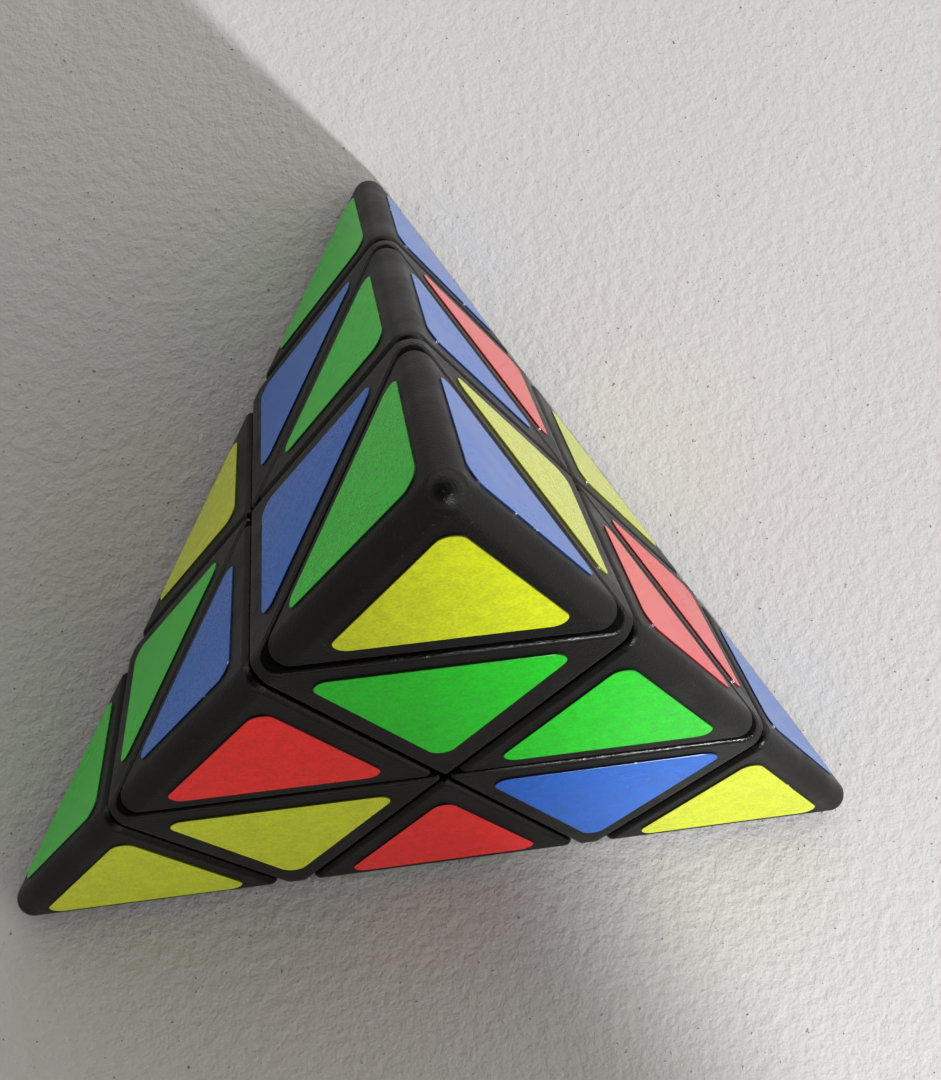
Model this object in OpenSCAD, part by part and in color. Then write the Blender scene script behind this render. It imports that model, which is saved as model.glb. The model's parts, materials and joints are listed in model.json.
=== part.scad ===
// A pyramid twisty puzzle: four corners turn, and each corner's tip turns on its own.
// Origin: the middle of the core, where the four turning axes meet. +Z runs up
// through the apex, and the lower front edge is parallel to X, on the -Y side.

/* [Pyramid] */
// Edge of the pyramid before its edges are eased, in mm
edge_len = 105; // [102:0.5:108]
// Radius that eases the outer edges and the four points
edge_r = 2; // [1.5:0.1:3]
// Clearance between neighbouring pieces
gap = 0.4; // [0.3:0.05:0.6]

/* [Turning core] */
// Radius of the ball that carries the edge pieces' feet
core_r = 12.6; // [12.2:0.1:12.8]
// Radius of the round hollow that the feet turn in
shell_r = 17.5; // [17:0.1:18]
// Radius of the hub under each axial piece
hub_r = 4; // [3.6:0.1:4.1]
// Distance from the middle of the core to each hub's end
hub_end = 11; // [10.5:0.1:11.5]

/* [Axles] */
// Radius of the axle screws' shanks
screw_r = 1.5; // [1.3:0.05:1.6]
// Running clearance between a shank and its bore
running_fit = 0.06; // [0.04:0.01:0.1]
// Radius of the axle screws' pan heads
screw_head_r = 2.8; // [2.5:0.1:3]
// Wire radius of the axle springs
wire_r = 0.4; // [0.3:0.05:0.45]
// Turns of wire in each axle spring
spring_turns = 5; // [4:1:6]

/* [Tips] */
// Wall of the hollow tip caps
cap_wall = 1.6; // [1.2:0.1:2]
// Thickness of the plate that closes each tip
plate_t = 2; // [1.6:0.1:2.4]
// Outer radius of the stem under each tip
stem_r = 4.2; // [4:0.1:4.4]
// Wall of that stem
stem_wall = 0.9; // [0.8:0.1:1]

/* [Stickers] */
// Thickness of a sticker
sticker_t = 0.15; // [0.1:0.05:0.2]
// From the middle of a groove to a sticker's side
groove_margin = 2.8; // [2.4:0.1:3.2]
// From the pyramid's sharp edge to a sticker's side
rim_margin = 3.3; // [3.1:0.1:4]
// Radius of a sticker's corners
sticker_corner_r = 1.5; // [1:0.1:2]

/* [Hidden] */
$fn = 64;
PLACE = ["apex", "back", "left", "right"];      // the four corners
FACE = ["base", "front", "right", "left"];      // each face by the corner that it lies opposite
PAIRS = [[0, 1], [0, 2], [0, 3], [1, 2], [1, 3], [2, 3]];
DIR = [                                         // from the core towards each corner
    [0, 0, 1],
    [0, 2 * sqrt(2) / 3, -1 / 3],
    [-sqrt(6) / 3, -sqrt(2) / 3, -1 / 3],
    [sqrt(6) / 3, -sqrt(2) / 3, -1 / 3]
];
yellow = "#d8e024";
green = "#21b534";
blue = "#2160c4";
red = "#d42b26";
FACE_COLOR = [red, yellow, blue, green];        // tips show their own face's colour
AXIAL_COLOR = [                                 // a row for each corner, a column for each face
    ["", green, yellow, blue],
    [green, "", red, blue],
    [red, yellow, "", green],
    [yellow, blue, red, ""]
];
EDGE_COLOR = [                                  // a row for each pair, a column for each face
    ["", "", blue, green],
    ["", red, "", blue],
    ["", green, red, ""],
    [blue, "", "", yellow],
    [green, "", yellow, ""],
    [yellow, red, "", ""]
];

height = edge_len * sqrt(2 / 3);                // of the sharp pyramid
face_dist = height / 4;                         // from the origin to each face
layer_cut = height / 12;                        // plane under each turning corner
tip_cut = height * 5 / 12;                      // plane under each tip
point_dist = height * 3 / 4 - 2 * edge_r;       // blunt point of each corner
rim_dist = edge_len / sqrt(8) - (sqrt(3) - 1) * edge_r;  // flat of each eased edge
half_gap = gap / 2;
face_third = edge_len * sqrt(3) / 6;            // height of one small triangle on a face
big = 200;                                      // larger than the whole puzzle

foot_in_r = core_r + gap;
foot_out_r = shell_r - gap;
seat_fit = 0.25;
seat_r = hub_r + seat_fit;                      // the core's seat for a hub
screw_tip = 4;                                  // from the origin to a screw's end
ledge = 20;                                     // where a stem bears inside an axial piece
stem_floor = 1.5;
washer_t = 0.5;
washer_fit = 0.1;                               // between a washer and its screw
head_h = 2.2;
head_drop = 3;                                  // a screw's head lies this far under the tip's cut
head_z = tip_cut - head_drop;                   // underside of a screw's head
spring_fit = 0.3;                               // between a spring and its stem
spring_r = stem_r - stem_wall - wire_r - spring_fit;  // to the middle of the wire
recess_w = 0.8;                                 // cross recess in a screw's head
recess_l = 3.2;
recess_d = 1.2;
seam = 0.05;                                    // between parts that bear on each other
over = 1;                                       // how far a cut or joined solid runs past its neighbour
tuck = 0.99;                                    // keeps a sticker's sides just inside its corners' arcs
sleeve_r = stem_r + 1.7;                        // outside of the wall around hub and stem
pocket_r = 11;                                  // hollow around that wall
pocket_top_r = 9;
pocket_top_z = tip_cut - 5;
pocket = [                                      // half section of that hollow
    [sleeve_r, hub_end],
    [pocket_r, hub_end],
    [pocket_r, ledge + 2],
    [pocket_top_r, pocket_top_z],
    [sleeve_r, pocket_top_z]
];

// Turns +Z to a direction.
module along(v) {
    rotate([0, acos(v[2] / norm(v)), atan2(v[1], v[0])])
        children();
}

// All of space on the inner side of the plane at distance d towards v.
module inside(v, d) {
    along(v)
        translate([-big / 2, -big / 2, d - big])
            cube(big);
}

// All of space beyond the plane at distance d towards v.
module beyond(v, d) {
    along(v)
        translate([-big / 2, -big / 2, d])
            cube(big);
}

// The corners that aren't in a list.
function others(skip) = [for (k = [0:3]) if (len(search(k, skip)) == 0) k];

// The inner side of the planes at distance d towards each corner in a list.
module inside_all(corners, d) {
    intersection_for (k = corners)
        inside(DIR[k], d);
}

// The inner side of the faces that lie opposite the corners in a list.
module faces(corners, depth = 0) {
    intersection_for (k = corners)
        inside(-DIR[k], face_dist - depth);
}

// The eased edges that run from corner i to each corner in a list.
module rims(i, corners) {
    intersection_for (k = corners)
        inside(DIR[i] + DIR[k], rim_dist);
}

// A cylinder on corner i's axis, from z0 to z1.
module on_axis(i, z0, z1, r) {
    along(DIR[i])
        translate([0, 0, z0])
            cylinder(h = z1 - z0, r = r);
}

// A ball with four seats for the hubs and four blind screw holes.
module core() {
    color("#1c1c1e")
        difference() {
            sphere(core_r);
            for (i = [0:3]) {
                on_axis(i, hub_end, core_r + over, seat_r);
                on_axis(i, screw_tip, hub_end + over, screw_r + running_fit / 3);
            }
        }
}

// Pan-head screws with a cross recess, one on each axis.
module axle_screws() {
    color("#9a9a98")
        for (i = [0:3])
            along(DIR[i])
                difference() {
                    union() {
                        translate([0, 0, screw_tip])
                            cylinder(h = head_z - screw_tip + over, r = screw_r);
                        translate([0, 0, head_z])
                            cylinder(h = head_h, r = screw_head_r);
                    }
                    for (a = [0, 90])
                        rotate([0, 0, a])
                            translate([-recess_l / 2, -recess_w / 2, head_z + head_h - recess_d])
                                cube([recess_l, recess_w, recess_d + over]);
                }
}

// A flat washer under each screw's head.
module spring_washers() {
    color("#b5b5b2")
        for (i = [0:3])
            along(DIR[i])
                translate([0, 0, head_z - washer_t])
                    difference() {
                        cylinder(h = washer_t, r = screw_head_r);
                        translate([0, 0, -over])
                            cylinder(h = washer_t + 2 * over, r = screw_r + washer_fit);
                    }
}

// Wire wound round Z from z0 up to z1, as rings of points joined in turn.
module coil(z0, z1, turns, mean_r, steps = 12, sides = 6) {
    n = turns * steps;
    rings = [for (k = [0:n]) let (a = 360 * k / steps, z = z0 + (z1 - z0) * k / n)
        [for (s = [0:sides - 1]) let (b = 360 * s / sides, r = mean_r + wire_r * cos(b))
            [r * cos(a), r * sin(a), z + wire_r * sin(b)]]];
    polyhedron(
        points = [for (ring = rings) each ring],
        faces = concat(
            [for (k = [0:n - 1], s = [0:sides - 1]) let (t = (s + 1) % sides)
                [k * sides + s, k * sides + t, (k + 1) * sides + t, (k + 1) * sides + s]],
            [[for (s = [sides - 1:-1:0]) s]],
            [[for (s = [0:sides - 1]) n * sides + s]]
        )
    );
}

// A compression spring between each washer and the floor of each stem.
module axle_springs() {
    color("#c8c8c4")
        for (i = [0:3])
            along(DIR[i])
                coil(
                    ledge + seam + stem_floor + wire_r + seam,
                    head_z - washer_t - wire_r - seam,
                    spring_turns,
                    spring_r
                );
}

// The piece between a tip and the middle, with its hub and its two bores.
module axial(i) {
    rest = others([i]);
    color("#161617")
        difference() {
            union() {
                difference() {
                    intersection() {
                        beyond(DIR[i], layer_cut + half_gap);
                        inside(DIR[i], tip_cut - half_gap);
                        inside_all(rest, layer_cut - half_gap);
                        faces(rest);
                        rims(i, rest);
                    }
                    sphere(shell_r);
                }
                on_axis(i, hub_end + seam, shell_r + over, hub_r);
            }
            on_axis(i, hub_end - over, ledge + over, screw_r + running_fit);
            on_axis(i, ledge, tip_cut + over, stem_r + running_fit);
            along(DIR[i])
                rotate_extrude()
                    polygon(pocket);
        }
}

// The plate under a tip, with the hollow stem that the spring presses inwards.
module tip_base(i) {
    plate_z = tip_cut + half_gap;
    color("#1b1b1d")
        difference() {
            union() {
                intersection() {
                    beyond(DIR[i], plate_z);
                    inside(DIR[i], plate_z + plate_t);
                    faces(others([i]), cap_wall + seam);
                }
                on_axis(i, ledge + seam, plate_z + over, stem_r);
            }
            on_axis(i, ledge + seam + stem_floor, plate_z + plate_t + over, stem_r - stem_wall);
            on_axis(i, ledge - over, ledge + seam + stem_floor + over, screw_r + running_fit);
        }
}

// The hollow cap over a tip.
module tip_cap(i) {
    rest = others([i]);
    color("#161617")
        difference() {
            intersection() {
                beyond(DIR[i], tip_cut + half_gap);
                inside(DIR[i], point_dist);
                faces(rest);
                rims(i, rest);
            }
            faces(rest, cap_wall);
        }
}

// The piece between two corners, with the foot that both axial pieces hold in.
module edge(i, j) {
    ends = others([i, j]);
    color("#161617")
        union() {
            difference() {
                intersection() {
                    beyond(DIR[i], layer_cut + half_gap);
                    beyond(DIR[j], layer_cut + half_gap);
                    faces(ends);
                    rims(i, [j]);
                }
                sphere(shell_r);
            }
            intersection() {
                beyond(DIR[i], half_gap);
                beyond(DIR[j], half_gap);
                inside_all(ends, -half_gap);
                difference() {
                    sphere(foot_out_r);
                    sphere(foot_in_r);
                }
            }
            intersection() {
                beyond(DIR[i], layer_cut + half_gap);
                beyond(DIR[j], layer_cut + half_gap);
                inside_all(ends, -half_gap);
                difference() {
                    sphere(shell_r + over);
                    sphere(foot_in_r);
                }
            }
        }
}

// Puts the XY plane on face f with +Y towards corner i, and Z outwards.
module on_face(f, i) {
    z = -DIR[f];
    up = DIR[i] - (DIR[i] * z) * z;
    y = up / norm(up);
    x = cross(y, z);
    p = z * face_dist;
    multmatrix([
        [x[0], y[0], z[0], p[0]],
        [x[1], y[1], z[1], p[1]],
        [x[2], y[2], z[2], p[2]]
    ])
        children();
}

// An equilateral triangle around the origin, h high, with a point at turn degrees.
module round_triangle(h, turn) {
    r = sticker_corner_r;
    rotate([0, 0, turn])
        linear_extrude(height = sticker_t) {
            far = h * 2 / 3 - 2 * r;
            polygon([for (a = [0:120:240], s = [-60, 60])
                far * [cos(a), sin(a)] + tuck * r * [cos(a + s), sin(a + s)]]);
            for (a = [0:120:240])
                translate(far * [cos(a), sin(a)])
                    circle(r);
        }
}

// A sticker on face f of corner i's tip.
module tip_sticker(f, i) {
    h = face_third - groove_margin - 2 * rim_margin;
    color(FACE_COLOR[f])
        on_face(f, i)
            translate([0, face_third + groove_margin + h / 3, 0])
                round_triangle(h, 90);
}

// A sticker on face f of corner i's axial piece.
module axial_sticker(f, i) {
    h = face_third - 3 * groove_margin;
    color(AXIAL_COLOR[i][f])
        on_face(f, i)
            translate([0, face_third * 2 / 3, 0])
                round_triangle(h, -90);
}

// A sticker on face f of the edge piece in row p of PAIRS.
module edge_sticker(f, p) {
    third = others(concat(PAIRS[p], [f]))[0];
    h = face_third - 2 * groove_margin - rim_margin;
    color(EDGE_COLOR[p][f])
        on_face(f, third)
            translate([0, rim_margin + h / 3 - face_third, 0])
                round_triangle(h, 90);
}

core();
axle_screws();
spring_washers();
axle_springs();
for (i = [0:3]) {
    axial(i);
    tip_base(i);
    tip_cap(i);
    for (f = others([i])) {
        tip_sticker(f, i);
        axial_sticker(f, i);
    }
}
for (p = [0:5]) {
    i = PAIRS[p][0];
    j = PAIRS[p][1];
    name = str(PLACE[i], "_", PLACE[j]);
    edge(i, j);
    for (f = others(PAIRS[p]))
        edge_sticker(f, p);
}
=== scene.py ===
import json
import math
import random

import bmesh
import bpy
from mathutils import Matrix, Vector


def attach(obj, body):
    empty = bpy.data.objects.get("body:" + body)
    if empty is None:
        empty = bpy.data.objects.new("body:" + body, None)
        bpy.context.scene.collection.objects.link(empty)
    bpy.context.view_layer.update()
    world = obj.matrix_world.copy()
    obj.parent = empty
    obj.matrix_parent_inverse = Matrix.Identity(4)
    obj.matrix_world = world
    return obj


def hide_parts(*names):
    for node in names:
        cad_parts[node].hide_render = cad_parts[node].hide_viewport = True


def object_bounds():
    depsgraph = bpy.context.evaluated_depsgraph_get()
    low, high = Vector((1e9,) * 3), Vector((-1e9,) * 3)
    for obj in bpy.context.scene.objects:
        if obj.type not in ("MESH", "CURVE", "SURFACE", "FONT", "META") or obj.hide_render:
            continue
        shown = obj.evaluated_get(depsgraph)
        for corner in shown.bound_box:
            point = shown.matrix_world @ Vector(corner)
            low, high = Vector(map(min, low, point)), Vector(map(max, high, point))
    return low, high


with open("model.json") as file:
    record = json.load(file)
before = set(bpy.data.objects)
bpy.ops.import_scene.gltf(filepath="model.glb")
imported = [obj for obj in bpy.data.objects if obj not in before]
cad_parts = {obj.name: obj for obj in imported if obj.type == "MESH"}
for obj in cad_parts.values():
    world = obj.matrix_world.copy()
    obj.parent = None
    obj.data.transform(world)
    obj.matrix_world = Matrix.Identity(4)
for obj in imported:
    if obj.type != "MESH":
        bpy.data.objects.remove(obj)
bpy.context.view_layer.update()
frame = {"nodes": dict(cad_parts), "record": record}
print("frame: the packed puzzle is in")

# The puzzle's own measures, in mm. Its origin is the middle of the core.
pyramid = {
    "edge": 105.0,          # sharp edge, before it is eased
    "ridgeRadius": 2.0,     # of the eased outer edges
    "gap": 0.4,             # between neighbouring pieces
    "hollowRadius": 17.5,   # round hollow under the corner pieces
    "footInner": 13.0,
    "footOuter": 17.1,
    "hubRadius": 4.0,
    "hubEnd": 11.05,
    "stemBore": 4.26,
    "screwBore": 1.56,
    "ledge": 20.0,          # where a tip's stem bears in its corner piece
    "sleeve": 5.9,          # wall round that stem, with a pocket round it
    "pocketFloor": 11.03,
    "pocketRadius": 11.0,
    "pocketBend": 22.0,
    "pocketTop": 9.0,       # its radius at the top
    "pocketRoof": 5.0,      # below the plane under the tip
}
mm = 0.001      # in the scene's metres
height = pyramid["edge"] * math.sqrt(2 / 3)
faceDistance = height / 4       # from the origin to each face
layerCut = height / 12          # plane under each turning corner
tipCut = height * 5 / 12        # plane under each tip
halfGap = pyramid["gap"] / 2
faceThird = pyramid["edge"] * math.sqrt(3) / 6   # height of one small triangle
cornerNames = ["apex", "back", "left", "right"]
toward = {
    "apex": Vector((0, 0, 1)),
    "back": Vector((0, 2 * math.sqrt(2) / 3, -1 / 3)),
    "left": Vector((-math.sqrt(6) / 3, -math.sqrt(2) / 3, -1 / 3)),
    "right": Vector((math.sqrt(6) / 3, -math.sqrt(2) / 3, -1 / 3)),
}
oppositeFace = {"base": "apex", "front": "back", "right": "left", "left": "right"}
bodies = frame["record"]["behaviour"]["bodies"]
bodyOf = {node: body for body, nodes in bodies.items() for node in nodes}
slotOf = {part["node"]: part["material_slot"] for part in frame["record"]["subparts"]}

# How finely the solids are made
solids = {
    "weld": 1e-4,           # points closer than this are one, mm
    "flat": 0.4,            # faces within so many degrees are one
    "around": 48,           # sides of a round body
    "onPlane": 1e-5,
    "onAxis": 1e-6,
}


def slerp(a, b, t):
    angle = a.angle(b)
    if angle < 1e-5:
        return a.copy()
    return (a * math.sin((1 - t) * angle) + b * math.sin(t * angle)) / math.sin(angle)


def fan(a, b, c, steps):
    # directions spread evenly over a triangle of a sphere
    found = []
    for row in range(steps + 1):
        first = slerp(a, b, row / steps)
        last = slerp(a, c, row / steps)
        for column in range(row + 1):
            found.append(slerp(first, last, column / max(1, row)))
    return found


def hull(points):
    bm = bmesh.new()
    for point in points:
        bm.verts.new(point)
    bmesh.ops.remove_doubles(bm, verts=bm.verts[:], dist=solids["weld"])
    made = bmesh.ops.convex_hull(bm, input=bm.verts[:], use_existing_faces=False)
    spare = set(made["geom_interior"]) | set(made["geom_unused"])
    inside = [v for v in spare if isinstance(v, bmesh.types.BMVert)]
    bmesh.ops.delete(bm, geom=inside, context="VERTS")
    bmesh.ops.delete(bm, geom=[v for v in bm.verts if not v.link_faces], context="VERTS")
    bmesh.ops.recalc_face_normals(bm, faces=bm.faces[:])
    flat = math.radians(solids["flat"])
    bmesh.ops.dissolve_limit(bm, angle_limit=flat, verts=bm.verts[:], edges=bm.edges[:])
    bm.normal_update()
    return bm


def cutAway(bm, planes):
    # keeps what lies under every plane (direction, distance), and closes it again
    for direction, distance in planes:
        bmesh.ops.bisect_plane(
            bm, geom=bm.verts[:] + bm.edges[:] + bm.faces[:], dist=solids["onPlane"],
            plane_co=direction * distance, plane_no=direction, clear_outer=True)
    points = [v.co.copy() for v in bm.verts]
    bm.free()
    return hull(points)


def easedPyramid(shrink, steps):
    # the whole pyramid with round outer edges, all its faces moved in by shrink
    radius = pyramid["ridgeRadius"]
    points = []
    for corner in cornerNames:
        normals = [-toward[k] for k in cornerNames if k != corner]
        centre = toward[corner] * 3 * (faceDistance - radius)
        points += [centre + (radius - shrink) * d for d in fan(*normals, steps)]
    return hull(points)


def rolled(bm, radius, step):
    # the solid grown by a ball, so that every border is round
    arc = math.radians(step)
    points = []
    for edge in bm.edges:
        a, b = [f.normal for f in edge.link_faces]
        parts = max(1, math.ceil(a.angle(b) / arc))
        for k in range(parts + 1):
            ray = slerp(a, b, k / parts) * radius
            points += [v.co + ray for v in edge.verts]
    for vert in bm.verts:
        middle = sum((f.normal for f in vert.link_faces), Vector()).normalized()
        for edge in vert.link_edges:
            a, b = [f.normal for f in edge.link_faces]
            if a.angle(b) > arc:
                parts = math.ceil(a.angle(b) / arc)
                points += [vert.co + d * radius for d in fan(middle, a, b, parts)]
    bm.free()
    return hull(points)


def asObject(name, bm):
    mesh = bpy.data.meshes.new(name)
    bm.to_mesh(mesh)
    bm.free()
    made = bpy.data.objects.new(name, mesh)
    bpy.context.scene.collection.objects.link(made)
    return made


def combine(target, tool, how):
    change = target.modifiers.new(how, "BOOLEAN")
    change.operation = how
    change.object = tool
    change.solver = "EXACT"
    settle(target)
    bpy.data.objects.remove(tool)
    return target


def settle(target):
    # turns what the modifiers make into the plain mesh
    graph = bpy.context.evaluated_depsgraph_get()
    plain = bpy.data.meshes.new_from_object(target.evaluated_get(graph))
    target.modifiers.clear()
    target.data = plain
    return target


def ball(radius, planes=()):
    bm = bmesh.new()
    around = solids["around"]
    bmesh.ops.create_uvsphere(bm, u_segments=around, v_segments=around // 2, radius=radius)
    if planes:
        bm = cutAway(bm, planes)
    return asObject("ball", bm)


def turnedTo(direction):
    return direction.to_track_quat("Z", "Y").to_matrix().to_4x4()


def lathe(profile, direction):
    # a closed profile of (radius, height) turned round an axis through the origin
    around = solids["around"]
    turns = [2 * math.pi * k / around for k in range(around)]
    bm = bmesh.new()
    rings = []
    for radius, level in profile:
        if radius < solids["onAxis"]:
            rings.append([bm.verts.new((0, 0, level))])
            continue
        rings.append([bm.verts.new((radius * math.cos(t), radius * math.sin(t), level)) for t in turns])
    closed = min(profile[0][0], profile[-1][0]) > solids["onAxis"]
    pairs = list(zip(rings, rings[1:] + rings[:1])) if closed else list(zip(rings, rings[1:]))
    for below, above in pairs:
        for k in range(around):
            n = (k + 1) % around
            corners = [below[k % len(below)], below[n % len(below)]]
            corners += [above[n % len(above)], above[k % len(above)]]
            kept = list(dict.fromkeys(corners))
            if len(kept) > 2:
                bm.faces.new(kept)
    bmesh.ops.recalc_face_normals(bm, faces=bm.faces[:])
    bm.transform(turnedTo(direction))
    return asObject("turned", bm)


def rod(radius, low, high, direction):
    return lathe([(0, low), (radius, low), (radius, high), (0, high)], direction)


def basisOf(a, b):
    side = a.cross(b).normalized()
    return Matrix((a.normalized(), side, a.cross(side).normalized())).transposed()


def turnOnto(a, b):
    # the turn that takes the apex to corner a and the back corner to corner b
    start = basisOf(toward["apex"], toward["back"])
    return (basisOf(toward[a], toward[b]) @ start.transposed()).to_4x4()


# Shells of the pieces. Each kind is made once, for the apex or the apex-back edge.
shells = {
    "ridgeSteps": 14,       # facets round an outer edge
    "lipStep": 15,          # degrees for each facet round a groove's lips
    "tipLip": 0.8,          # radius of the lips, mm
    "cornerLip": 0.6,
    "edgeLip": 0.75,
    "tipInset": 0.12,       # a tip stands a little further off than its clearance
    "capWall": 1.6,
    "boreStart": 5.0,       # below the hub's end, so that the bore is open
    "over": 1.0,            # how far a cutter reaches past what it cuts
    "blank": 300,
    "sharpAngle": 32,       # borders sharper than this stay crisp
    "weld": 2e-3,
    "sliver": 1e-3,
    "evenness": 100,        # how much large faces lead the shading
}


def tipShell():
    lip = shells["tipLip"]
    low = tipCut + halfGap + shells["tipInset"]
    body = cutAway(easedPyramid(lip, shells["ridgeSteps"]), [(-toward["apex"], -low - lip)])
    shell = asObject("tipMaster", rolled(body, lip, shells["lipStep"]))
    inner = faceDistance - shells["capWall"]
    walls = [(-toward[k], inner) for k in ("back", "left", "right")]
    bm = bmesh.new()
    bmesh.ops.create_cube(bm, size=shells["blank"])
    under = (-toward["apex"], -tipCut + 2 * shells["over"])
    hollow = asObject("hollow", cutAway(bm, walls + [under]))
    return combine(shell, hollow, "DIFFERENCE")


def cornerShell():
    lip, over = shells["cornerLip"], shells["over"]
    up = toward["apex"]
    planes = [(up, tipCut - halfGap - lip), (-up, -layerCut - halfGap - lip)]
    planes += [(toward[k], layerCut - halfGap - lip) for k in ("back", "left", "right")]
    body = cutAway(easedPyramid(lip, shells["ridgeSteps"]), planes)
    shell = asObject("cornerMaster", rolled(body, lip, shells["lipStep"]))
    combine(shell, ball(pyramid["hollowRadius"]), "DIFFERENCE")
    hub = rod(pyramid["hubRadius"], pyramid["hubEnd"], pyramid["hollowRadius"] + over, up)
    combine(shell, hub, "UNION")
    bore = rod(pyramid["screwBore"], shells["boreStart"], pyramid["ledge"] + over, up)
    combine(shell, bore, "DIFFERENCE")
    seat = rod(pyramid["stemBore"], pyramid["ledge"], tipCut + 2 * over, up)
    combine(shell, seat, "DIFFERENCE")
    inner, outer = pyramid["sleeve"], pyramid["pocketRadius"]
    low, high = pyramid["pocketFloor"], tipCut - pyramid["pocketRoof"]
    pocket = [(inner, low), (outer, low), (outer, pyramid["pocketBend"]),
              (pyramid["pocketTop"], high), (inner, high)]
    return combine(shell, lathe(pocket, up), "DIFFERENCE")


def edgeShell():
    lip = shells["edgeLip"]
    ends, sides = ("apex", "back"), ("left", "right")
    planes = [(-toward[k], -layerCut - halfGap - lip) for k in ends]
    body = cutAway(easedPyramid(lip, shells["ridgeSteps"]), planes)
    shell = asObject("edgeMaster", rolled(body, lip, shells["lipStep"]))
    combine(shell, ball(pyramid["hollowRadius"]), "DIFFERENCE")
    flanks = [(toward[k], -halfGap) for k in sides]
    foot = ball(pyramid["footOuter"], [(-toward[k], -halfGap) for k in ends] + flanks)
    neckPlanes = [(-toward[k], -layerCut - halfGap) for k in ends] + flanks
    neck = ball(pyramid["hollowRadius"] + shells["over"], neckPlanes)
    combine(foot, neck, "UNION")
    combine(foot, ball(pyramid["footInner"]), "DIFFERENCE")
    return combine(shell, foot, "UNION")


def finishMaster(master):
    bm = bmesh.new()
    bm.from_mesh(master.data)
    bmesh.ops.remove_doubles(bm, verts=bm.verts[:], dist=shells["weld"])
    bmesh.ops.dissolve_degenerate(bm, edges=bm.edges[:], dist=shells["sliver"])
    bm.normal_update()
    limit = math.radians(shells["sharpAngle"])
    for face in bm.faces:
        face.smooth = True
    for edge in bm.edges:
        edge.smooth = len(edge.link_faces) == 2 and edge.calc_face_angle(0) < limit
    loose = [e for e in bm.edges if len(e.link_faces) != 2]
    bm.to_mesh(master.data)
    print("shell:", master.name, len(bm.faces), "faces,", len(loose), "loose borders")
    bm.free()
    even = master.modifiers.new("even", "WEIGHTED_NORMAL")
    even.keep_sharp = True
    even.weight = shells["evenness"]
    return settle(master)


def placeCopy(master, name, turn, node, finish):
    mesh = master.data.copy()
    mesh.transform(Matrix.Scale(mm, 4) @ turn)
    mesh.materials.clear()
    mesh.materials.append(finish)
    piece = bpy.data.objects.new(name, mesh)
    bpy.context.scene.collection.objects.link(piece)
    hand(piece, node)
    return piece


def hand(piece, node):
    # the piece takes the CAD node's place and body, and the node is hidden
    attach(piece, bodyOf[node])
    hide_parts(node)


# Node building
def add(tree, kind, inputs=None, **settings):
    node = tree.nodes.new(kind)
    for name, value in settings.items():
        setattr(node, name, value)
    for name, value in (inputs or {}).items():
        socket = node.inputs[name]
        if isinstance(value, bpy.types.NodeSocket):
            tree.links.new(value, socket)
        else:
            socket.default_value = value
    return node


def maths(tree, operation, a, b=0.0, c=0.0):
    return add(tree, "ShaderNodeMath", {0: a, 1: b, 2: c}, operation=operation).outputs[0]


def newTree(name, kind, inputs, outputs):
    tree = bpy.data.node_groups.new(name, kind)
    for label, (sort, value) in inputs.items():
        socket = tree.interface.new_socket(label, in_out="INPUT", socket_type="NodeSocket" + sort)
        if value is not None:
            socket.default_value = value
    for label, sort in outputs.items():
        tree.interface.new_socket(label, in_out="OUTPUT", socket_type="NodeSocket" + sort)
    entry = tree.nodes.new("NodeGroupInput")
    leave = tree.nodes.new("NodeGroupOutput")
    return tree, entry.outputs, leave.inputs


def noise(tree, place, scale, detail=2.0, roughness=0.5):
    made = add(tree, "ShaderNodeTexNoise", {
        "Vector": place, "Scale": scale, "Detail": detail, "Roughness": roughness})
    return made.outputs["Fac"]


def stretch(tree, value, low, high, start=0.0, end=1.0):
    # low..high of a value becomes start..end, with soft ends
    made = add(tree, "ShaderNodeMapRange", {
        "Value": value, "From Min": low, "From Max": high, "To Min": start, "To Max": end},
        interpolation_type="SMOOTHSTEP")
    return made.outputs["Result"]


def blendColour(tree, amount, first, second, how="MIX"):
    made = tree.nodes.new("ShaderNodeMix")
    made.data_type = "RGBA"
    made.blend_type = how
    slots = {0: amount, 6: first, 7: second}
    for index, value in slots.items():
        if isinstance(value, bpy.types.NodeSocket):
            tree.links.new(value, made.inputs[index])
        else:
            made.inputs[index].default_value = value
    return made.outputs[2]


moulded = {
    "coarser": 0.22,        # scale of the coarse grain against the fine
    "coarseShare": 0.5,
    "smudgeSpan": (0.35, 0.65),
}


def grainGroup():
    # fine moulded grain: a height for bump, and how the shine varies over it
    tree, given, out = newTree(
        "mouldedGrain", "ShaderNodeTree",
        {"Place": ("Vector", None), "Grain Scale": ("Float", 4000.0), "Smudge Scale": ("Float", 90.0)},
        {"Height": "Float", "Smudge": "Float"})
    fine = noise(tree, given["Place"], given["Grain Scale"], 2.0, 0.6)
    wide = maths(tree, "MULTIPLY", given["Grain Scale"], moulded["coarser"])
    coarse = noise(tree, given["Place"], wide, 2.0)
    relief = maths(tree, "MULTIPLY_ADD", coarse, moulded["coarseShare"], fine)
    tree.links.new(relief, out["Height"])
    broad = noise(tree, given["Place"], given["Smudge Scale"], 3.0, 0.6)
    tree.links.new(stretch(tree, broad, *moulded["smudgeSpan"]), out["Smudge"])
    return tree


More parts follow.
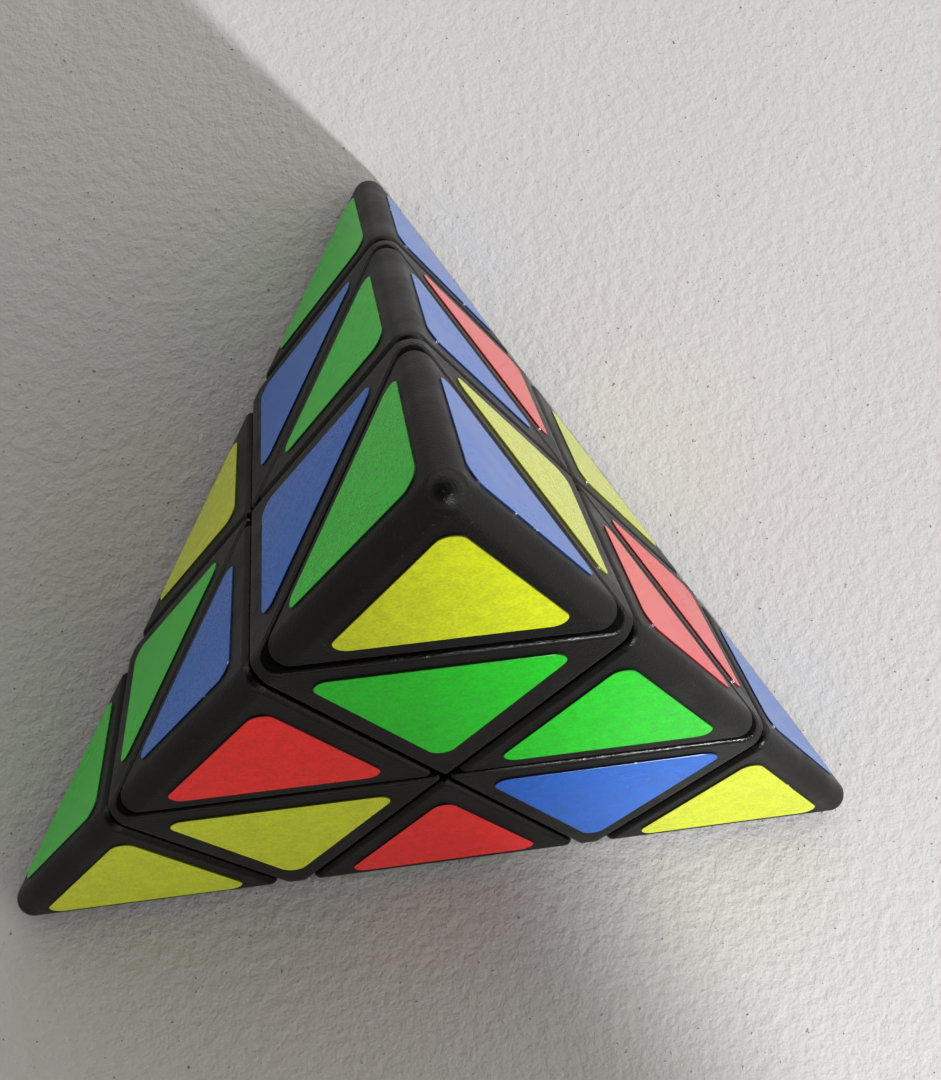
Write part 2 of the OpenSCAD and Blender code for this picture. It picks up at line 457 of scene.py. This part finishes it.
def placesGroup():
    # where a point lies on the pyramid: beside a groove, or on an outer edge
    tree, given, out = newTree(
        "pyramidPlaces", "ShaderNodeTree",
        {"Place": ("Vector", None), "Groove Width": ("Float", 0.0012),
         "Ridge Width": ("Float", 0.003)},
        {"Groove": "Float", "Ridge": "Float"})
    along = []
    for corner in cornerNames:
        both = {0: given["Place"], 1: toward[corner]}
        dot = add(tree, "ShaderNodeVectorMath", both, operation="DOT_PRODUCT")
        along.append(dot.outputs["Value"])
    nearest = 1.0
    for reach in along:
        for level in (layerCut, tipCut):
            gone = maths(tree, "ABSOLUTE", maths(tree, "SUBTRACT", reach, level * mm))
            nearest = maths(tree, "MINIMUM", gone, nearest)
    depth = [maths(tree, "ADD", reach, faceDistance * mm) for reach in along]
    ridge = 1.0
    for i, first in enumerate(depth):
        for second in depth[i + 1:]:
            ridge = maths(tree, "MINIMUM", maths(tree, "MAXIMUM", first, second), ridge)
    groove = maths(tree, "SUBTRACT", 1.0, maths(tree, "DIVIDE", nearest, given["Groove Width"]))
    outer = maths(tree, "SUBTRACT", 1.0, maths(tree, "DIVIDE", ridge, given["Ridge Width"]))
    tree.links.new(maths(tree, "MAXIMUM", groove, 0.0), out["Groove"])
    tree.links.new(maths(tree, "MAXIMUM", outer, 0.0), out["Ridge"])
    return tree


settling = {
    "cloudScale": 260.0,    # where the thin film gathers
    "cloudSpan": (0.42, 0.72),
    "speckScale": 2300.0,
    "speckSpan": (0.7, 0.78),
}


def dustGroup():
    # sparse pale specks and a thin film of dust, none where the mask is set: there the surface keeps
    # its darker colour as painted shade
    tree, given, out = newTree(
        "settledDust", "ShaderNodeTree",
        {"Place": ("Vector", None), "Mask": ("Float", 0.0), "Film": ("Float", 0.1),
         "Specks": ("Float", 0.5)},
        {"Dust": "Float"})
    cloud = noise(tree, given["Place"], settling["cloudScale"], 4.0, 0.7)
    cloud = stretch(tree, cloud, *settling["cloudSpan"])
    speck = noise(tree, given["Place"], settling["speckScale"], 1.0)
    speck = stretch(tree, speck, *settling["speckSpan"])
    film = maths(tree, "MULTIPLY", given["Film"], cloud)
    total = maths(tree, "MULTIPLY_ADD", speck, given["Specks"], film)
    outsidePaintedShade = maths(tree, "SUBTRACT", 1.0, given["Mask"])
    tree.links.new(maths(tree, "MULTIPLY", total, outsidePaintedShade), out["Dust"])
    return tree


grain = grainGroup()
places = placesGroup()
dust = dustGroup()


def newMaterial(name, **sockets):
    made = bpy.data.materials.new(name)
    made.use_nodes = True
    tree = made.node_tree
    shader = tree.nodes["Principled BSDF"]
    for label, value in sockets.items():
        shader.inputs[label.replace("_", " ")].default_value = value
    place = tree.nodes.new("ShaderNodeTexCoord").outputs["Object"]
    return made, tree, shader, place


def useGroup(tree, group, inputs):
    made = tree.nodes.new("ShaderNodeGroup")
    made.node_tree = group
    for label, value in inputs.items():
        if isinstance(value, bpy.types.NodeSocket):
            tree.links.new(value, made.inputs[label])
        else:
            made.inputs[label].default_value = value
    return made.outputs


def bump(tree, shader, level, strength, distance):
    values = {"Height": level, "Strength": strength, "Distance": distance}
    made = add(tree, "ShaderNodeBump", values)
    tree.links.new(made.outputs["Normal"], shader.inputs["Normal"])


blackPlastic = {
    "colour": (0.003, 0.003, 0.0032, 1),
    "worn": (0.006, 0.006, 0.0062, 1),
    "dust": (0.30, 0.29, 0.27, 1),
    "grainScale": 4200.0,
    "grainDepth": 0.0001,       # metres, as are the next two
    "grooveWidth": 0.0012,
    "ridgeWidth": 0.003,
    "smudgeScale": 90.0,
    "shine": (0.28, 0.38),      # roughness from rubbed to clean
    "grooveShine": -0.14,       # the lips of the grooves are smoother
    "ridgeShine": 0.1,          # and the outer edges rubbed matt
    "film": 0.008,
    "specks": 0.12,
    "dustRough": 0.3,           # how much duller dust makes it
    "bump": 0.5,
    "reflects": 0.4,
}


def plasticMaterial(name, look):
    made, tree, shader, place = newMaterial(name, IOR=1.5, Specular_IOR_Level=look["reflects"])
    where = useGroup(tree, places, {
        "Place": place, "Groove Width": look["grooveWidth"], "Ridge Width": look["ridgeWidth"]})
    skin = useGroup(tree, grain, {
        "Place": place, "Grain Scale": look["grainScale"], "Smudge Scale": look["smudgeScale"]})
    # the lips beside the grooves get no dust, so they stay darker as painted shade of the grooves; the
    # dust elsewhere is real dust
    settled = useGroup(tree, dust, {
        "Place": place, "Mask": where["Groove"], "Film": look["film"], "Specks": look["specks"]})
    rubbed = maths(tree, "MULTIPLY", where["Ridge"], skin["Smudge"])
    tint = blendColour(tree, rubbed, look["colour"], look["worn"])
    tint = blendColour(tree, settled["Dust"], tint, look["dust"])
    tree.links.new(tint, shader.inputs["Base Color"])
    clean = stretch(tree, skin["Smudge"], 0.0, 1.0, look["shine"][1], look["shine"][0])
    smoother = maths(tree, "MULTIPLY_ADD", where["Groove"], look["grooveShine"], clean)
    polished = maths(tree, "MULTIPLY_ADD", where["Ridge"], look["ridgeShine"], smoother)
    rough = maths(tree, "MULTIPLY_ADD", settled["Dust"], look["dustRough"], polished)
    tree.links.new(rough, shader.inputs["Roughness"])
    bump(tree, shader, skin["Height"], look["bump"], look["grainDepth"])
    return made


vinyl = {
    "yellow": (0.60, 0.68, 0.003, 1),
    "green": (0.002, 0.56, 0.010, 1),
    "blue": (0.0015, 0.14, 0.58, 1),
    "red": (0.82, 0.006, 0.004, 1),
    "bare": (0.55, 0.54, 0.5, 1),     # the backing where an edge is chipped
    "textureScale": 3400.0,
    "textureDepth": 0.000004,
    "shade": 0.72,          # how deep the fine grain of its colour goes
    "grainSpan": (0.45, 1.05),      # grain heights that go from deep to full colour
    "rimPaintedShade": 0.12,       # the sticker's cut border is darkened: painted shade along its edge
    "rimCover": 0.85,
    "chipScale": 420.0,
    "chipSpan": (0.70, 0.72),
    "shine": (0.22, 0.28),
    "smudgeScale": 60.0,
    "film": 0.006,
    "specks": 0.1,
    "bump": 0.5,
    "reflects": 0.5,
    "gloss": 0.42,          # a clear top layer
    "glossRough": 0.12,
}


def vinylMaterial(name, colour):
    made, tree, shader, place = newMaterial(
        name, IOR=1.5, Specular_IOR_Level=vinyl["reflects"], Coat_Weight=vinyl["gloss"],
        Coat_Roughness=vinyl["glossRough"], Coat_IOR=1.5)
    skin = useGroup(tree, grain, {
        "Place": place, "Grain Scale": vinyl["textureScale"], "Smudge Scale": vinyl["smudgeScale"]})
    settled = useGroup(tree, dust, {"Place": place, "Film": vinyl["film"], "Specks": vinyl["specks"]})
    rim = add(tree, "ShaderNodeAttribute", attribute_name="rim").outputs["Fac"]
    deep = tuple(c * vinyl["shade"] for c in colour[:3]) + (1,)
    # painted shade: the sticker's sides and bevel are coloured darker, as if in shadow
    dark = tuple(c * vinyl["rimPaintedShade"] for c in colour[:3]) + (1,)
    tint = blendColour(tree, stretch(tree, skin["Height"], *vinyl["grainSpan"]), deep, colour)
    tint = blendColour(tree, maths(tree, "MULTIPLY", rim, vinyl["rimCover"]), tint, dark)
    chips = stretch(tree, noise(tree, place, vinyl["chipScale"], 2.0, 0.7), *vinyl["chipSpan"])
    tint = blendColour(tree, maths(tree, "MULTIPLY", rim, chips), tint, vinyl["bare"])
    tint = blendColour(tree, settled["Dust"], tint, blackPlastic["dust"])
    tree.links.new(tint, shader.inputs["Base Color"])
    rough = stretch(tree, skin["Smudge"], 0.0, 1.0, *vinyl["shine"])
    tree.links.new(rough, shader.inputs["Roughness"])
    bump(tree, shader, skin["Height"], vinyl["bump"], vinyl["textureDepth"])
    return made


steel = {
    "zinc": (0.56, 0.56, 0.54, 1),
    "stain": (0.33, 0.31, 0.27, 1),
    "wire": (0.66, 0.65, 0.62, 1),
    "zincRough": (0.3, 0.5),
    "wireRough": (0.2, 0.4),
    "grainScale": 5200.0,
    "smudgeScale": 420.0,
    "bump": 0.3,
    "grainDepth": 0.00001,
}


def metalMaterial(name, colour, rough):
    made, tree, shader, place = newMaterial(name, Metallic=1.0)
    skin = useGroup(tree, grain, {
        "Place": place, "Grain Scale": steel["grainScale"], "Smudge Scale": steel["smudgeScale"]})
    tint = blendColour(tree, skin["Smudge"], colour, steel["stain"])
    tree.links.new(tint, shader.inputs["Base Color"])
    shine = stretch(tree, skin["Smudge"], 0.0, 1.0, *rough)
    tree.links.new(shine, shader.inputs["Roughness"])
    bump(tree, shader, skin["Height"], steel["bump"], steel["grainDepth"])
    return made


corePlastic = dict(blackPlastic, colour=(0.02, 0.02, 0.022, 1), grainScale=2400.0, shine=(0.45, 0.6))
finishes = {
    "black_plastic": plasticMaterial("satinBlackShell", blackPlastic),
    "core_plastic": plasticMaterial("plainCorePlastic", corePlastic),
    "screw_steel": metalMaterial("zincPlatedSteel", steel["zinc"], steel["zincRough"]),
    "spring_steel": metalMaterial("springWire", steel["wire"], steel["wireRough"]),
}
for colourName in ("yellow", "green", "blue", "red"):
    finishes["sticker_" + colourName] = vinylMaterial(colourName + "Vinyl", vinyl[colourName])
print("finishes: made", len(finishes))

tipMaster = finishMaster(tipShell())
cornerMaster = finishMaster(cornerShell())
edgeMaster = finishMaster(edgeShell())
black = finishes["black_plastic"]
for corner in cornerNames:
    other = next(k for k in cornerNames if k != corner)
    turn = turnOnto(corner, other)
    placeCopy(tipMaster, "tipShell_" + corner, turn, "tip_cap_" + corner, black)
    placeCopy(cornerMaster, "cornerShell_" + corner, turn, "axial_" + corner, black)
for i, first in enumerate(cornerNames):
    for second in cornerNames[i + 1:]:
        pair = first + "_" + second
        placeCopy(edgeMaster, "edgeShell_" + pair, turnOnto(first, second), "edge_" + pair, black)
for master in (tipMaster, cornerMaster, edgeMaster):
    bpy.data.objects.remove(master)
for name, node in frame["nodes"].items():
    if name == "core" or name.startswith("tip_base"):
        for index in range(len(node.data.materials)):
            node.material_slots[index].material = finishes[slotOf[name]]
print("shells: in place")

# Vinyl triangles
stickers = {
    "thickness": 0.15,      # mm
    "grooveMargin": 2.8,    # from the middle of a groove
    "rimMargin": 3.3,       # from the sharp edge
    "edgeMargins": (3.2, 3.6),      # the same two on the edge pieces
    "cornerRadius": 1.5,
    "bevel": 0.035,
    "nibble": 0.05,         # how unevenly the edges are cut
    "slip": 0.12,           # how far a sticker may sit off its place
    "twist": 0.4,           # and how far turned, degrees
    "seed": 11,
    "seedSpan": 50,         # every sticker's own border is drawn from this span
    "cornerSteps": 10,
    "cutStep": 0.3,         # between the points of the border, mm
    "cutScale": 700.0,
    "cutRest": 0.75,        # noise height that leaves the border where it is
    "weld": 0.001,
}
placedByHand = {            # stickers that sit visibly off: across and up in mm, and their size
    "sticker_front_tip_apex": (0.3, 0.15, 0.94),
    "sticker_front_axial_apex": (-0.5, 0.35, 1.0),
    "sticker_front_axial_right": (0.0, 0.0, 1.05),
    "sticker_front_edge_apex_right": (0.25, 0.35, 1.03),
    "sticker_front_tip_right": (0.2, -0.3, 0.98),
}


def stickerTree():
    tree, given, out = newTree(
        "vinylTriangle", "GeometryNodeTree",
        {"Geometry": ("Geometry", None), "Height": ("Float", 0.02), "Corner Radius": ("Float", 0.0015),
         "Thickness": ("Float", 0.00015), "Bevel": ("Float", 0.00003),
         "Nibble": ("Float", 0.00004), "Seed": ("Float", 0.0), "Finish": ("Material", None)},
        {"Geometry": "Geometry"})
    reach = maths(tree, "MULTIPLY", given["Height"], 2 / 3)
    outline = add(tree, "GeometryNodeCurvePrimitiveCircle", {"Resolution": 3, "Radius": reach})
    fillet = add(tree, "GeometryNodeFilletCurve", {
        "Curve": outline.outputs["Curve"], "Count": stickers["cornerSteps"],
        "Radius": given["Corner Radius"]}, mode="POLY")
    fine = add(tree, "GeometryNodeResampleCurve", {
        "Curve": fillet.outputs["Curve"], "Length": stickers["cutStep"] * mm}, mode="LENGTH")
    spot = tree.nodes.new("GeometryNodeInputPosition").outputs["Position"]
    ragged = add(tree, "ShaderNodeTexNoise", {
        "Vector": spot, "W": given["Seed"], "Scale": stickers["cutScale"], "Detail": 3.0},
        noise_dimensions="4D")
    bite = maths(tree, "SUBTRACT", ragged.outputs["Fac"], stickers["cutRest"])
    bite = maths(tree, "MULTIPLY", bite, given["Nibble"])
    inward = add(tree, "ShaderNodeVectorMath", {0: spot}, operation="NORMALIZE").outputs["Vector"]
    shift = add(tree, "ShaderNodeVectorMath", {0: inward, "Scale": bite}, operation="SCALE")
    cut = add(tree, "GeometryNodeSetPosition", {
        "Geometry": fine.outputs["Curve"], "Offset": shift.outputs["Vector"]})
    filled = add(tree, "GeometryNodeFillCurve", {"Curve": cut.outputs["Geometry"]}, mode="NGONS")
    sheet = filled.outputs["Mesh"]
    wall = maths(tree, "SUBTRACT", given["Thickness"], given["Bevel"])
    body = add(tree, "GeometryNodeExtrudeMesh", {
        "Mesh": sheet, "Offset Scale": wall, "Individual": False})
    crown = add(tree, "GeometryNodeExtrudeMesh", {
        "Mesh": body.outputs["Mesh"], "Selection": body.outputs["Top"],
        "Offset Scale": given["Bevel"], "Individual": False})
    inset = maths(tree, "DIVIDE", given["Bevel"], maths(tree, "MULTIPLY", given["Height"], 1 / 3))
    eased = add(tree, "GeometryNodeScaleElements", {
        "Geometry": crown.outputs["Mesh"], "Selection": crown.outputs["Top"],
        "Scale": maths(tree, "SUBTRACT", 1.0, inset)})
    level = maths(tree, "SUBTRACT", 1.0, crown.outputs["Top"])
    marked = add(tree, "GeometryNodeStoreNamedAttribute", {
        "Geometry": eased.outputs["Geometry"], "Name": "rim", "Value": level},
        data_type="FLOAT", domain="FACE")
    under = add(tree, "GeometryNodeFlipFaces", {"Mesh": sheet}).outputs["Mesh"]
    joined = tree.nodes.new("GeometryNodeJoinGeometry")
    tree.links.new(under, joined.inputs[0])
    tree.links.new(marked.outputs["Geometry"], joined.inputs[0])
    welded = add(tree, "GeometryNodeMergeByDistance", {
        "Geometry": joined.outputs[0], "Distance": stickers["weld"] * mm})
    flat = add(tree, "GeometryNodeSetShadeSmooth", {
        "Geometry": welded.outputs["Geometry"], "Shade Smooth": False})
    real = add(tree, "GeometryNodeRealizeInstances", {"Geometry": flat.outputs["Geometry"]})
    done = add(tree, "GeometryNodeSetMaterial", {
        "Geometry": real.outputs["Geometry"], "Material": given["Finish"]})
    tree.links.new(done.outputs["Geometry"], out["Geometry"])
    return tree


def grow(name, tree, values, base=None):
    # runs a geometry tree on an object and keeps the result as a plain mesh
    made = base or bpy.data.objects.new(name, bpy.data.meshes.new(name))
    made.name = name
    if not made.users_collection:
        bpy.context.scene.collection.objects.link(made)
    change = made.modifiers.new("grow", "NODES")
    change.node_group = tree
    for item in tree.interface.items_tree:
        if item.in_out == "INPUT" and item.name in values:
            change[item.identifier] = values[item.name]
    return settle(made)


def onFace(face, corner):
    # a face's own place, with up towards a corner
    out = -toward[oppositeFace[face]]
    up = (toward[corner] - out * toward[corner].dot(out)).normalized()
    across = up.cross(out)
    turned = Matrix((across, up, out)).transposed().to_4x4()
    return Matrix.Translation(out * faceDistance) @ turned


def stickerPlace(kind, face, held):
    # height of the triangle, the corner its face is seen from, how far up, and its turn
    groove, rim = stickers["grooveMargin"], stickers["rimMargin"]
    if kind == "tip":
        size = faceThird - groove - 2 * rim
        return size, held[0], faceThird + groove + size / 3, 90
    if kind == "axial":
        return faceThird - 3 * groove, held[0], faceThird * 2 / 3, -90
    groove, rim = stickers["edgeMargins"]
    size = faceThird - 2 * groove - rim
    third = next(k for k in cornerNames if k not in held and k != oppositeFace[face])
    return size, third, rim + size / 3 - faceThird, 90


vinylTriangle = stickerTree()
chance = random.Random(stickers["seed"])
for node in sorted(n for n in bodyOf if n.startswith("sticker_")):
    label, face, kind, *held = node.split("_")
    size, corner, up, turn = stickerPlace(kind, face, held)
    slip = [chance.uniform(-1, 1) * stickers["slip"] for k in range(2)]
    twist = chance.uniform(-1, 1) * stickers["twist"]
    if node in placedByHand:
        *slip, scale = placedByHand[node]
        size *= scale
    values = {
        "Height": size * mm, "Corner Radius": stickers["cornerRadius"] * mm,
        "Thickness": stickers["thickness"] * mm, "Bevel": stickers["bevel"] * mm,
        "Nibble": stickers["nibble"] * mm, "Seed": chance.uniform(0, stickers["seedSpan"]),
        "Finish": finishes[slotOf[node]],
    }
    piece = grow("vinyl_" + face + "_" + kind + "_" + "_".join(held), vinylTriangle, values)
    place = onFace(face, corner)
    place.translation *= mm
    shift = Vector((slip[0], up + slip[1], 0)) * mm
    spin = Matrix.Rotation(math.radians(turn + twist), 4, "Z")
    piece.data.transform(place @ Matrix.Translation(shift) @ spin)
    hand(piece, node)
print("vinyl: 36 triangles on")

# Axle parts
axles = {
    "screwTip": 4.0,
    "shank": 1.5,
    "threadDepth": 0.22,
    "pitch": 0.7,
    "threadEnd": 13.0,
    "threadSides": 32,
    "threadRise": 0.07,     # between two rings of the thread
    "pointLength": 0.6,
    "pointDepth": 0.35,
    "headLow": tipCut - 3,
    "headHeight": 2.2,
    "headRadius": 2.8,
    "headEdge": 0.15,
    "crown": [(0, 0.9), (0.2, 0.45), (0.65, 0.12), (1.3, 0)],   # in from its side, down from its top
    "recess": (3.2, 0.8, 1.2),
    "sunk": 0.3,            # the shank's end in the head
    "washer": 0.5,
    "washerBore": 1.6,
    "washerRadius": 2.8,
    "washerEdge": 0.06,
    "wire": 0.4,
    "coilRadius": 2.6,
    "turns": 5,
    "coilLow": 22.0,
    "coilGap": 0.05,
    "coilSteps": 32,        # in each turn
    "wireSides": 10,
}


def fourAxesTree():
    # whatever the object holds, once on each of the four axes
    tree, given, out = newTree(
        "fourAxes", "GeometryNodeTree", {"Geometry": ("Geometry", None), "Finish": ("Material", None)},
        {"Geometry": "Geometry"})
    pick = add(tree, "GeometryNodeIndexSwitch", data_type="VECTOR")
    while len(pick.index_switch_items) < len(cornerNames):
        pick.index_switch_items.new()
    tree.links.new(tree.nodes.new("GeometryNodeInputIndex").outputs[0], pick.inputs["Index"])
    for index, corner in enumerate(cornerNames):
        pick.inputs[index + 1].default_value = toward[corner]
    aim = add(tree, "FunctionNodeAlignRotationToVector", {"Vector": pick.outputs[0]}, axis="Z")
    spots = add(tree, "GeometryNodePoints", {"Count": len(cornerNames)})
    copies = add(tree, "GeometryNodeInstanceOnPoints", {
        "Points": spots.outputs[0], "Instance": given["Geometry"], "Rotation": aim.outputs["Rotation"]})
    real = add(tree, "GeometryNodeRealizeInstances", {"Geometry": copies.outputs[0]})
    done = add(tree, "GeometryNodeSetMaterial", {
        "Geometry": real.outputs[0], "Material": given["Finish"]})
    tree.links.new(done.outputs[0], out["Geometry"])
    return tree


def coilTree():
    # a compression spring with its end turns closer together
    tree, given, out = newTree(
        "closedCoil", "GeometryNodeTree",
        {"Geometry": ("Geometry", None), "Radius": ("Float", 0.0026), "Wire": ("Float", 0.0004),
         "Turns": ("Float", 5.0), "Low": ("Float", 0.0), "High": ("Float", 0.01),
         "Closing": ("Float", 0.05), "Finish": ("Material", None)},
        {"Geometry": "Geometry"})
    path = add(tree, "GeometryNodeCurveSpiral", {
        "Resolution": axles["coilSteps"], "Rotations": given["Turns"],
        "Start Radius": given["Radius"], "End Radius": given["Radius"], "Height": 1.0})
    along = tree.nodes.new("GeometryNodeSplineParameter").outputs["Factor"]
    wave = maths(tree, "SINE", maths(tree, "MULTIPLY", along, 2 * math.pi))
    eased = maths(tree, "SUBTRACT", along, maths(tree, "MULTIPLY", wave, given["Closing"]))
    span = maths(tree, "SUBTRACT", given["High"], given["Low"])
    level = maths(tree, "MULTIPLY_ADD", eased, span, given["Low"])
    spot = tree.nodes.new("GeometryNodeInputPosition").outputs["Position"]
    parts = add(tree, "ShaderNodeSeparateXYZ", {0: spot})
    where = add(tree, "ShaderNodeCombineXYZ", {
        "X": parts.outputs["X"], "Y": parts.outputs["Y"], "Z": level})
    moved = add(tree, "GeometryNodeSetPosition", {
        "Geometry": path.outputs["Curve"], "Position": where.outputs[0]})
    ring = add(tree, "GeometryNodeCurvePrimitiveCircle", {
        "Resolution": axles["wireSides"], "Radius": given["Wire"]})
    tube = add(tree, "GeometryNodeCurveToMesh", {
        "Curve": moved.outputs["Geometry"], "Profile Curve": ring.outputs["Curve"], "Fill Caps": True})
    real = add(tree, "GeometryNodeRealizeInstances", {"Geometry": tube.outputs[0]})
    done = add(tree, "GeometryNodeSetMaterial", {
        "Geometry": real.outputs[0], "Material": given["Finish"]})
    tree.links.new(done.outputs[0], out["Geometry"])
    return tree


def screwHead():
    low, high = axles["headLow"], axles["headLow"] + axles["headHeight"]
    wide, edge = axles["headRadius"], axles["headEdge"]
    profile = [(0, low), (wide - edge, low), (wide, low + edge)]
    profile += [(wide - inset, high - drop) for inset, drop in axles["crown"]]
    head = lathe(profile + [(0, high)], toward["apex"])
    long, slim, deep = axles["recess"]
    tall = 2 * shells["over"]
    for turn in (0, 90):
        bm = bmesh.new()
        bmesh.ops.create_cube(bm, size=1)
        shape = Matrix.Diagonal((long, slim, tall, 1))
        lift = Matrix.Translation((0, 0, high - deep + tall / 2))
        bm.transform(Matrix.Rotation(math.radians(turn), 4, "Z") @ lift @ shape)
        combine(head, asObject("recess", bm), "DIFFERENCE")
    return head


def screwMaster():
    start, sides = axles["screwTip"], axles["threadSides"]
    length = axles["headLow"] + axles["sunk"] - start
    bm = bmesh.new()
    rings = []
    for row in range(round(length / axles["threadRise"]) + 1):
        level = start + row * axles["threadRise"]
        point = axles["pointLength"] - (level - start)
        point = min(axles["pointDepth"], max(0.0, point))
        ring = []
        for k in range(sides):
            phase = (level / axles["pitch"] - k / sides) % 1.0
            cut = axles["threadDepth"] * abs(2 * phase - 1) if level < axles["threadEnd"] else 0.0
            radius = axles["shank"] - cut - point
            around = 2 * math.pi * k / sides
            ring.append(bm.verts.new((radius * math.cos(around), radius * math.sin(around), level)))
        rings.append(ring)
    for below, above in zip(rings, rings[1:]):
        for k in range(sides):
            n = (k + 1) % sides
            bm.faces.new((below[k], below[n], above[n], above[k]))
    bm.faces.new(list(reversed(rings[0])))
    bm.faces.new(rings[-1])
    return combine(screwHead(), asObject("shank", bm), "UNION")


def washerMaster():
    low, high = axles["headLow"] - axles["washer"], axles["headLow"]
    bore, wide, edge = axles["washerBore"], axles["washerRadius"], axles["washerEdge"]
    profile = [(bore, low + edge), (bore + edge, low), (wide - edge, low), (wide, low + edge),
               (wide, high - edge), (wide - edge, high), (bore + edge, high), (bore, high - edge)]
    return lathe(profile, toward["apex"])


def finishAxlePart(master, node, name, tree, values):
    master.data.transform(Matrix.Scale(mm, 4))
    piece = grow(name, tree, values, master)
    hand(piece, node)


fourAxes = fourAxesTree()
zinc, wire = finishes["screw_steel"], finishes["spring_steel"]
finishAxlePart(screwMaster(), "axle_screws", "axleScrews", fourAxes, {"Finish": zinc})
finishAxlePart(washerMaster(), "spring_washers", "springWashers", fourAxes, {"Finish": zinc})
coilHigh = axles["headLow"] - axles["washer"] - axles["wire"] - axles["coilGap"]
coil = grow("coil", coilTree(), {
    "Radius": axles["coilRadius"], "Wire": axles["wire"], "Turns": float(axles["turns"]),
    "Low": axles["coilLow"], "High": coilHigh, "Finish": wire})
finishAxlePart(coil, "axle_springs", "axleSprings", fourAxes, {"Finish": wire})
print("axles: screws, washers and springs on")

# Floor, light and camera
studio = {
    "floorColour": (0.515, 0.515, 0.515, 1),
    "floorRough": 0.9,
    "floorSize": 2.4,       # metres, as are the lamp's places
    "patchScale": 14.0,     # broad unevenness of the floor's colour
    "patchShade": 0.9,
    "speckColour": (0.12, 0.11, 0.10, 1),
    "speckScale": 1300.0,
    "speckSpan": (0.695, 0.74),
    "speckCover": 0.75,
    "plaster": (650.0, 2100.0),     # scales of its coarse and fine grain
    "fineShare": 0.5,
    "plasterBump": 0.7,
    "plasterDepth": 0.00042,
    "keyPlace": (0.184, -0.526, 0.485),
    "keyAim": (0.512, 0.262, -0.022),
    "keyCone": 70.6,        # degrees across
    "keyEdge": 0.035,       # softness of its border
    "keySize": 0.012,
    "keyPower": 14.5,
    "keyColour": (0.98, 0.99, 1.0),
    "airColour": (1.0, 0.965, 0.92, 1),
    "zenith": 0.12,         # brightness of the air overhead
    "horizon": 1.6,
    "brighter": (0.5, 0.25, 0.0),    # the air is brighter to the right and the back
}
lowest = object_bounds()[0].z


def floorMaterial():
    made, tree, shader, place = newMaterial("paleFloor", Roughness=studio["floorRough"])
    base = studio["floorColour"]
    deep = tuple(c * studio["patchShade"] for c in base[:3]) + (1,)
    tint = blendColour(tree, noise(tree, place, studio["patchScale"], 3.0), base, deep)
    speck = stretch(tree, noise(tree, place, studio["speckScale"], 2.0, 0.6), *studio["speckSpan"])
    cover = maths(tree, "MULTIPLY", speck, studio["speckCover"])
    tint = blendColour(tree, cover, tint, studio["speckColour"])
    tree.links.new(tint, shader.inputs["Base Color"])
    coarse = noise(tree, place, studio["plaster"][0], 3.0, 0.5)
    fine = noise(tree, place, studio["plaster"][1], 3.0, 0.6)
    plaster = maths(tree, "MULTIPLY_ADD", fine, studio["fineShare"], coarse)
    bump(tree, shader, plaster, studio["plasterBump"], studio["plasterDepth"])
    return made


bm = bmesh.new()
bmesh.ops.create_grid(bm, x_segments=1, y_segments=1, size=studio["floorSize"] / 2)
bm.transform(Matrix.Translation((0, 0, lowest)))
floor = asObject("floor", bm)
floor.data.materials.append(floorMaterial())

lamp = bpy.data.lights.new("key", "SPOT")
lamp.energy = studio["keyPower"]
lamp.color = studio["keyColour"]
lamp.spot_size = math.radians(studio["keyCone"])
lamp.spot_blend = studio["keyEdge"]
lamp.shadow_soft_size = studio["keySize"]
key = bpy.data.objects.new("key", lamp)
key.location = studio["keyPlace"]
aim = Vector(studio["keyAim"]) - Vector(studio["keyPlace"])
key.rotation_euler = aim.to_track_quat("-Z", "Y").to_euler()
bpy.context.scene.collection.objects.link(key)

world = bpy.data.worlds.new("studioAir")
bpy.context.scene.world = world
world.use_nodes = True
air = world.node_tree
heading = air.nodes.new("ShaderNodeTexCoord").outputs["Generated"]
parts = add(air, "ShaderNodeSeparateXYZ", {0: heading})
rise = maths(air, "ABSOLUTE", parts.outputs["Z"])
level = maths(air, "MULTIPLY_ADD", rise, studio["zenith"] - studio["horizon"], studio["horizon"])
towards = {0: heading, 1: studio["brighter"]}
side = add(air, "ShaderNodeVectorMath", towards, operation="DOT_PRODUCT")
level = maths(air, "ADD", level, side.outputs["Value"])
air.links.new(level, air.nodes["Background"].inputs["Strength"])
air.nodes["Background"].inputs["Color"].default_value = studio["airColour"]

camera = {
    "eye": (-0.0081, -0.0231, 0.1765),
    "look": (0.1163, 0.1890, -0.9751),
    "up": (0.1042, 0.9740, 0.2012),
    "lens": 53.3,
    "shift": (-0.05, -0.05),
    "sensor": 36,
    "near": 0.01,
}
forward = Vector(camera["look"]).normalized()
across = forward.cross(Vector(camera["up"])).normalized()
frameTurn = Matrix((across, across.cross(forward), -forward)).transposed().to_4x4()
lens = bpy.data.cameras.new("camera")
lens.lens = camera["lens"]
lens.sensor_width = camera["sensor"]
lens.shift_x, lens.shift_y = camera["shift"]
lens.clip_start = camera["near"]
view = bpy.data.objects.new("camera", lens)
view.matrix_world = Matrix.Translation(camera["eye"]) @ frameTurn
bpy.context.scene.collection.objects.link(view)
bpy.context.scene.camera = view
bpy.context.scene.view_settings.view_transform = "Standard"
bpy.context.scene.view_settings.look = "High Contrast"
print("studio: floor, lights and camera set")
